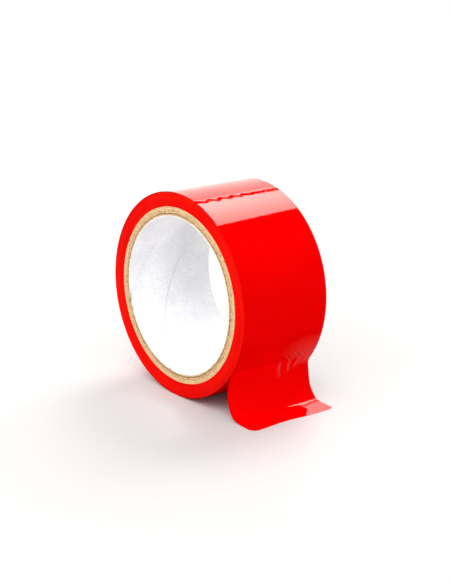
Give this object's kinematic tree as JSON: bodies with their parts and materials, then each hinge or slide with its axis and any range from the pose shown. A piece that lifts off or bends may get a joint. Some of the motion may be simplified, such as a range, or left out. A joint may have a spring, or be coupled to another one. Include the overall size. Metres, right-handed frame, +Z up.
{
  "type": "duct tape roll",
  "caption": "Roll of glossy red adhesive tape on a paper core, standing on its rim, with a short loose tail that peels away and bends.",
  "frame": {"origin": "middle of the roll: on the axis of the core bore, half way across the width", "axes": "+Y along the roll's axis towards the far side, +Z up with the roll standing on its rim, +X towards the side where the tail leaves and lies on the floor"},
  "size_m": [0.1073, 0.05, 0.0996],
  "materials": {
    "liner_paper": "smooth uncoated white paper",
    "kraft": "fibrous brown board, cut edge",
    "kraft_cover": "thin light brown paper",
    "wound_tape": "stacked cut edges of film and adhesive",
    "film": "glossy, faintly rippled",
    "adhesive": "tacky, semi-gloss"
  },
  "bodies": {
    "strip": {"last_turn_film": "film", "last_turn_adhesive": "adhesive"},
    "roll": {"core_liner": "liner_paper", "core_ply_1": "kraft", "core_ply_2": "kraft", "core_ply_3": "kraft", "core_ply_4": "kraft", "core_cover": "kraft_cover", "tape_winding": "wound_tape"},
    "tail_root": {"tail_root_film": "film", "tail_root_adhesive": "adhesive"},
    "tail_hang": {"tail_hang_film": "film", "tail_hang_adhesive": "adhesive"},
    "tail_curl": {"tail_curl_film": "film", "tail_curl_adhesive": "adhesive"},
    "tail_end": {"tail_end_film": "film", "tail_end_adhesive": "adhesive"}
  },
  "joints": [
    {"name": "roll_turn", "type": "hinge", "parent": "strip", "child": "roll", "pos_m": [0, 0, 0], "axis": [0, 1, 0], "continuous": true},
    {"name": "tail_peel", "type": "hinge", "parent": "strip", "child": "tail_root", "pos_m": [0.04121, 0, -0.0278], "axis": [0, 1, 0], "range_deg": [-110, 0], "stiffness_Nm_per_rad": 0.0007},
    {"name": "tail_flex_upper", "type": "hinge", "parent": "tail_root", "child": "tail_hang", "pos_m": [0.03961, 0, -0.03305], "axis": [0, 1, 0], "range_deg": [-1, 23]},
    {"name": "tail_flex_middle", "type": "hinge", "parent": "tail_hang", "child": "tail_curl", "pos_m": [0.04118, 0, -0.04297], "axis": [0, 1, 0], "range_deg": [-1, 23]},
    {"name": "tail_flex_lower", "type": "hinge", "parent": "tail_curl", "child": "tail_end", "pos_m": [0.04472, 0, -0.04785], "axis": [0, 1, 0], "range_deg": [-1, 34]}
  ],
  "couplings": [
    {"joint": "tail_flex_upper", "follows": "tail_peel", "ratio": -0.2},
    {"joint": "tail_flex_middle", "follows": "tail_peel", "ratio": -0.2},
    {"joint": "tail_flex_lower", "follows": "tail_peel", "ratio": -0.3}
  ]
}
